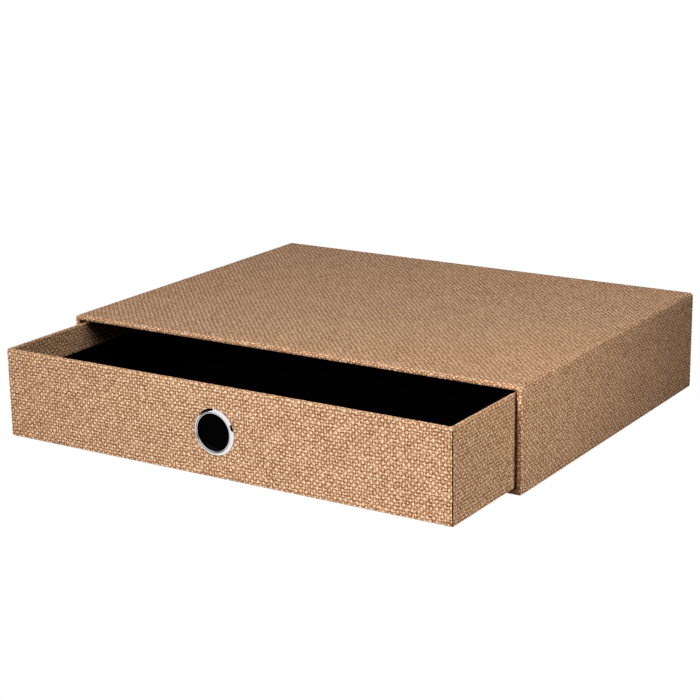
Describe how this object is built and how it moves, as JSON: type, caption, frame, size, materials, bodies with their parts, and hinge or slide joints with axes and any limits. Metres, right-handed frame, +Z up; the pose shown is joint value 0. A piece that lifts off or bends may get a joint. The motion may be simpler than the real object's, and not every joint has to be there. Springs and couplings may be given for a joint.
{
  "type": "file box with drawer",
  "caption": "Flat desk box for A4 sheets: a paper-covered board case, open at the front, with a full-width drawer that slides out by a round metal finger ring.",
  "frame": {"origin": "middle of the case's underside, on the surface that the box stands on", "axes": "+Z up, the drawer's front faces -Y, +X to the right seen from above with the front nearest"},
  "size_m": [0.335, 0.3297, 0.0673],
  "materials": {
    "textured_paper": "embossed canvas weave, satin, copper brown",
    "black_paper": "smooth, matt",
    "greyboard": "raw",
    "stay_tape": "gummed kraft",
    "plated_metal": "bright nickel plate"
  },
  "bodies": {
    "case": {"case_top_board": "greyboard", "case_base_board": "greyboard", "case_left_board": "greyboard", "case_right_board": "greyboard", "case_back_board": "greyboard", "case_corner_stays": "stay_tape", "case_wrap": "textured_paper", "case_back_cover": "textured_paper", "case_base_cover": "black_paper", "case_wall_lining": "black_paper", "case_back_lining": "black_paper"},
    "drawer": {"drawer_bottom_board": "greyboard", "drawer_front_board": "greyboard", "drawer_back_board": "greyboard", "drawer_left_board": "greyboard", "drawer_right_board": "greyboard", "drawer_corner_stays": "stay_tape", "drawer_side_wrap": "textured_paper", "drawer_front_cover": "textured_paper", "drawer_base_cover": "black_paper", "drawer_wall_lining": "black_paper", "drawer_floor_lining": "black_paper", "finger_eyelet": "plated_metal", "eyelet_washer": "plated_metal"}
  },
  "joints": [
    {"name": "drawer_slide", "type": "slide", "parent": "case", "child": "drawer", "axis": [0, -1, 0], "range_m": [-0.0726, 0.166]}
  ]
}
